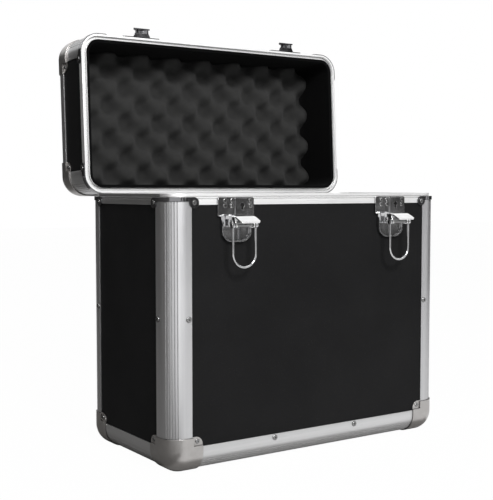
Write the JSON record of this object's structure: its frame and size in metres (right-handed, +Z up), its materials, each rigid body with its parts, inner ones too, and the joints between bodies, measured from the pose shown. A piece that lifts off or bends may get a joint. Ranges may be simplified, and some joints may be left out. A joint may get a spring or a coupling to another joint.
{
  "type": "record carrying case",
  "caption": "Hard carrying case for twelve-inch records: black boards in rounded aluminium rails, hinged foam-lined lid, draw latches with wire bails and a folding handle.",
  "frame": {"origin": "under the middle of the body, on the plane that the corner caps stand on", "axes": "+Z up, +X to the right along the latch side, -Y out of the latch side"},
  "size_m": [0.3718, 0.3164, 0.4774],
  "materials": {
    "black_board": "thin board faced with matte black sheet",
    "rail_aluminium": "satin anodised, extruded",
    "corner_chrome": "polished",
    "cap_steel": "pressed, satin plated",
    "lining_felt": "black felt-faced foam sheet",
    "grey_foam": "charcoal egg-crate foam",
    "rivet_steel": "plated, domed",
    "latch_chrome": "nickel-chrome plated pressings",
    "hinge_steel": "zinc plated",
    "handle_chrome": "plated",
    "grip_plastic": "soft black moulding"
  },
  "bodies": {
    "case_body": {"base_caps": "cap_steel", "base_panel": "black_board", "base_rail_front": "rail_aluminium", "base_rail_left": "rail_aluminium", "base_rail_rear": "rail_aluminium", "base_rail_right": "rail_aluminium", "body_lining": "lining_felt", "body_rivets": "rivet_steel", "corner_rail_front_left": "rail_aluminium", "corner_rail_front_right": "rail_aluminium", "corner_rail_rear_left": "rail_aluminium", "corner_rail_rear_right": "rail_aluminium", "front_panel": "black_board", "hinge_body_leaves": "hinge_steel", "hinge_pins": "hinge_steel", "latch_plate_left": "latch_chrome", "latch_plate_right": "latch_chrome", "left_panel": "black_board", "lever_pins": "latch_chrome", "rear_panel": "black_board", "right_panel": "black_board", "rim_braces": "corner_chrome", "rim_corners": "rail_aluminium", "rim_rail_front": "rail_aluminium", "rim_rail_left": "rail_aluminium", "rim_rail_rear": "rail_aluminium", "rim_rail_right": "rail_aluminium"},
    "lid": {"handle_brackets": "handle_chrome", "hinge_lid_leaves": "hinge_steel", "keeper_left": "latch_chrome", "keeper_right": "latch_chrome", "lid_caps": "cap_steel", "lid_corner_rails": "rail_aluminium", "lid_foam": "grey_foam", "lid_front_panel": "black_board", "lid_left_panel": "black_board", "lid_lining": "lining_felt", "lid_rail_front": "rail_aluminium", "lid_rail_left": "rail_aluminium", "lid_rail_rear": "rail_aluminium", "lid_rail_right": "rail_aluminium", "lid_rear_panel": "black_board", "lid_right_panel": "black_board", "lid_rim_braces": "corner_chrome", "lid_rim_corners": "rail_aluminium", "lid_rim_front": "rail_aluminium", "lid_rim_left": "rail_aluminium", "lid_rim_rear": "rail_aluminium", "lid_rim_right": "rail_aluminium", "lid_rivets": "rivet_steel", "lid_top_panel": "black_board"},
    "handle": {"handle_rod": "handle_chrome", "handle_grip": "grip_plastic"},
    "left_lever": {"latch_lever_left": "latch_chrome"},
    "left_bail_pin": {"bail_pin_left": "latch_chrome"},
    "left_bail": {"bail_left": "latch_chrome"},
    "right_lever": {"latch_lever_right": "latch_chrome"},
    "right_bail_pin": {"bail_pin_right": "latch_chrome"},
    "right_bail": {"bail_right": "latch_chrome"}
  },
  "joints": [
    {"name": "lid_hinge", "type": "hinge", "parent": "case_body", "child": "lid", "pos_m": [0, 0.096, 0.2793], "axis": [1, 0, 0], "range_deg": [0, 93]},
    {"name": "handle_swing", "type": "hinge", "parent": "lid", "child": "handle", "pos_m": [0, 0.18801, 0.37061], "axis": [1, 0, 0], "range_deg": [-3, 87]},
    {"name": "left_lever_fold", "type": "hinge", "parent": "case_body", "child": "left_lever", "pos_m": [-0.1055, -0.099, 0.254], "axis": [1, 0, 0], "range_deg": [0, 77]},
    {"name": "left_pin_turn", "type": "hinge", "parent": "left_lever", "child": "left_bail_pin", "pos_m": [-0.1055, -0.10777, 0.25176], "axis": [1, 0, 0], "range_deg": [-77, 0]},
    {"name": "left_bail_swing", "type": "hinge", "parent": "left_bail_pin", "child": "left_bail", "pos_m": [-0.1055, -0.10777, 0.25176], "axis": [-1, 0, 0], "range_deg": [0, 180]},
    {"name": "right_lever_fold", "type": "hinge", "parent": "case_body", "child": "right_lever", "pos_m": [0.1055, -0.099, 0.254], "axis": [1, 0, 0], "range_deg": [0, 77]},
    {"name": "right_pin_turn", "type": "hinge", "parent": "right_lever", "child": "right_bail_pin", "pos_m": [0.1055, -0.10777, 0.25176], "axis": [1, 0, 0], "range_deg": [-77, 0]},
    {"name": "right_bail_swing", "type": "hinge", "parent": "right_bail_pin", "child": "right_bail", "pos_m": [0.1055, -0.10777, 0.25176], "axis": [-1, 0, 0], "range_deg": [0, 180]}
  ],
  "couplings": [
    {"joint": "left_pin_turn", "follows": "left_lever_fold", "ratio": -1},
    {"joint": "right_pin_turn", "follows": "right_lever_fold", "ratio": -1}
  ]
}
